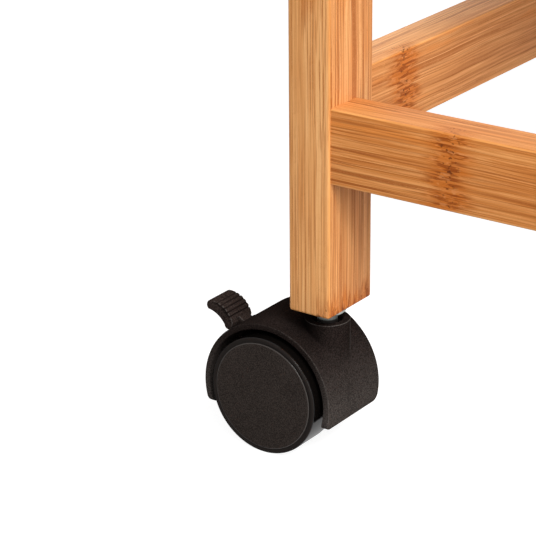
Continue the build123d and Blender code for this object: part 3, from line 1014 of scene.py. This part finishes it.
def housing_marks(points):
    """Where the housing is painted pale as highlights and painted dark as shade, per point.

    Highlights are painted on the boss's rim, by the cosine from its lit side, in a stripe down the boss's
    flank, and along the hood's outer edges. Painted shade falls off as a bell curve away from the boss, on
    the side of the wheels.
    """
    x, y, z = points.T
    reach, turn = np.hypot(x - TRAIL, y), np.arctan2(y, x - TRAIL)
    # Painted highlights: the boss's rim on its lit side, a stripe down the boss's flank, the hood's outer
    # edges
    rim = np.hypot(reach - BOSS_RADIUS, z - BOSS_TOP) < 0.6 * BOSS_RIM
    rim = rim * np.clip(0.4 + 0.6 * np.cos(turn - LIT_RIM_ANGLE), 0, 1)
    on_wall = np.abs(reach - BOSS_RADIUS) < BOSS_FLANK_HIGHLIGHT_DEPTH
    boss_flank_highlight = np.clip(1 - np.abs(turn - BOSS_FLANK_HIGHLIGHT_ANGLE) / BOSS_FLANK_HIGHLIGHT_SPREAD, 0, 1) * on_wall
    inset = HOOD_HALF - np.abs(y)
    edge = (inset > EDGE_INSET[0]) & (inset < EDGE_INSET[1]) & (np.hypot(x, z) > HOOD_CREST - HOOD_EDGE)
    leading = np.clip(x / HOOD_CREST, 0, 1)
    # Painted shade beside the boss, under the leg, falling off away from it
    bell = np.exp(-((np.maximum(reach - BOSS_RADIUS, 0) / PAINTED_SHADE_REACH) ** 2)) * (z > HOOD_CREST - PAINTED_SHADE_DROP)
    painted_shade = HOUSING_PAINTED_SHADE * bell * np.sqrt(np.clip(np.cos(turn - PAINTED_SHADE_ANGLE), 0, 1))
    return {"painted_highlight": np.clip(rim + boss_flank_highlight * 0.8 + edge * (0.1 + leading * 0.4), 0, 1), "painted_shade": painted_shade}


def casters():
    """Housings, wheels and pedals of the four casters."""
    for end in ENDS:
        for side in SIDES:
            points, faces = joined([hood(end == "front"), boss(), centre_web()])
            node = f"caster_housing_{end}_{side}"
            make_piece(f"{node}_moulding", (at_caster(points, side, end), faces), f"caster_{end}_{side}",
                       housing_black, [node], housing_marks(points), crease=32.0)
            wheel(f"caster_wheel_{end}_{side}_near", side, end, -1)
            wheel(f"caster_wheel_{end}_{side}_far", side, end, 1)
    for side in SIDES:
        pedal(side)


# Fittings

def stems():
    """Stems at the swivel axes: pivot, shaft, thin hexagonal flange under the leg, start of the thread.

    Rows are radius and rise from the leg's foot, in millimetres. The flange's rows are the hexagon's half
    width over the cosine of the angle from the nearest flat's middle, cut off at a radius.
    """
    foot = STEM_FOOT / MM
    angle = full_turn(STEM_STEPS)
    hexagon = 7.0 / np.cos((angle + math.pi / 6) % (math.pi / 3) - math.pi / 6)
    shaft = [(3.5, -13.5), (3.5, -10.0), (4.2, -9.5), (4.2, -2.8), (4.6, -2.45), (6.4, -2.4)]
    flange = [(7.0, -2.4), (7.3, -2.25), (7.6, -1.9), (7.6, -0.4), (7.3, -0.1), (7.0, 0.0)]
    thread = [(4.0, 0.0), (4.0, 4.0)]
    rows = [(radius + 0 * angle, rise) for radius, rise in shaft]
    rows += [(np.minimum(hexagon, limit), rise) for limit, rise in flange]
    rows += [(radius + 0 * angle, rise) for radius, rise in thread]
    points, faces = tube(MM * np.stack([
        np.stack([radius * np.cos(angle), radius * np.sin(angle), foot + rise + 0 * angle], -1)
        for radius, rise in rows
    ]))
    below = np.array([[TRAIL, 0.0, -AXLE_HEIGHT]])
    axes = [at_caster(below, side, end)[0] for side in SIDES for end in ENDS]
    surface = joined([(points + axis, faces) for axis in axes])
    make_piece("caster_stems_plated", surface, "frame", zinc_painted_shade_low, ["caster_stems"])


def plated_nodes():
    """Gives the screws, axles and pins of the model their plating."""
    for node, item in frame["nodes"].items():
        if node.startswith(("connector_screws", "caster_axle", "brake_pin")):
            item.data.materials.clear()
            item.data.materials.append(zinc_plate)


# Stage, light and camera

FLOOR_HALF = 12
FLOOR_TONE = 0.40
FLOOR_GLOW = 0.88
WORLD_LIGHT = 0.20
WHITE = (1.0, 1.0, 1.0, 1.0)
PHOTOGRAPHED_CORNER = np.array([-0.255, -0.16, 0.11])
LAMP_DISTANCE = 2.2

# Direction, size and power of each lamp
LAMPS = {
    "key": ((0.57, -0.36, 0.74), 0.85, 45.0),
    "side": ((0.95, -0.15, 0.28), 1.2, 14.0),
    "front": ((0.62, -0.62, 0.48), 1.0, 14.0),
    "back": ((-0.78, 0.61, 0.15), 1.0, 24.0),
}

# The photograph's viewpoint, found from the leg's and rails' edges
VIEW_PLACE = (0.217898, -0.868369, 0.423354)
VIEW_FORWARD = np.array([-0.538628, 0.755407, -0.37315])
VIEW_RIGHT = np.array([0.816237, 0.57765, -0.008809])
VIEW_LENS = 154.249
VIEW_SENSOR = 36.0


def seen_directly(start):
    """1 for rays from the camera, mirror reflections and transmission, 0 for light that falls on things."""
    path = start.node("ShaderNodeLightPath", None, None, "Is Camera Ray")
    rays = path + path.output("Is Glossy Ray") + path.output("Is Transmission Ray")
    return start.math("MINIMUM", rays, 1.0)


def floor():
    """Wide pale floor whose tone reaches white to the eye and keeps the cart's soft shadow."""
    mesh = bpy.data.meshes.new("floor")
    corners = [(x * FLOOR_HALF, y * FLOOR_HALF, 0) for x, y in ((-1, -1), (1, -1), (1, 1), (-1, 1))]
    mesh.from_pydata(corners, [], [(0, 1, 2, 3)])
    plane = bpy.data.objects.new("floor", mesh)
    bpy.context.scene.collection.objects.link(plane)
    finish = bpy.data.materials.new("floor_white")
    finish.use_nodes = True
    finish.node_tree.nodes.clear()
    start = Tone(finish.node_tree)
    matt = start.node("ShaderNodeBsdfDiffuse", None, {"Color": (FLOOR_TONE, FLOOR_TONE, FLOOR_TONE, 1.0)})
    light = start.node("ShaderNodeEmission", None, {"Strength": seen_directly(start) * FLOOR_GLOW})
    both = start.node("ShaderNodeAddShader", None, {0: matt, 1: light})
    start.node("ShaderNodeOutputMaterial", None, {"Surface": both})
    mesh.materials.append(finish)


def world():
    """White surroundings to the eye, plain soft light for the object."""
    setting = bpy.data.worlds.new("surroundings")
    bpy.context.scene.world = setting
    setting.use_nodes = True
    setting.node_tree.nodes.clear()
    start = Tone(setting.node_tree)
    level = seen_directly(start) * (1.0 - WORLD_LIGHT) + WORLD_LIGHT
    back = start.node("ShaderNodeBackground", None, {"Color": WHITE, "Strength": level})
    start.node("ShaderNodeOutputWorld", None, {"Surface": back})


def placed(name, data, columns, place):
    """Object with given right, up and backward directions at a place."""
    holder = bpy.data.objects.new(name, data)
    bpy.context.scene.collection.objects.link(holder)
    holder.matrix_world = Matrix(np.column_stack([*columns, place]).tolist() + [[0, 0, 0, 1]])
    return holder


def lamps():
    """Square area lamps, each looking at the photographed corner from its direction."""
    for name, (direction, size, power) in LAMPS.items():
        light = bpy.data.lights.new(name, "AREA")
        light.shape = "SQUARE"
        light.size = size
        light.energy = power
        towards = np.array(direction) / np.linalg.norm(direction)
        side = np.cross((0, 0, 1), towards)
        side = side / np.linalg.norm(side)
        place = PHOTOGRAPHED_CORNER + towards * LAMP_DISTANCE
        placed(name, light, (side, np.cross(towards, side), towards), place)


def camera():
    """Camera at the photograph's viewpoint."""
    view = bpy.data.cameras.new("camera")
    view.sensor_width = VIEW_SENSOR
    view.lens = VIEW_LENS
    view.clip_start = 0.01
    columns = (VIEW_RIGHT, np.cross(VIEW_RIGHT, VIEW_FORWARD), -VIEW_FORWARD)
    bpy.context.scene.camera = placed("camera", view, columns, VIEW_PLACE)


timber()
worktop()
casters()
stems()
plated_nodes()
floor()
world()
lamps()
camera()
bpy.context.scene.view_settings.view_transform = "Standard"
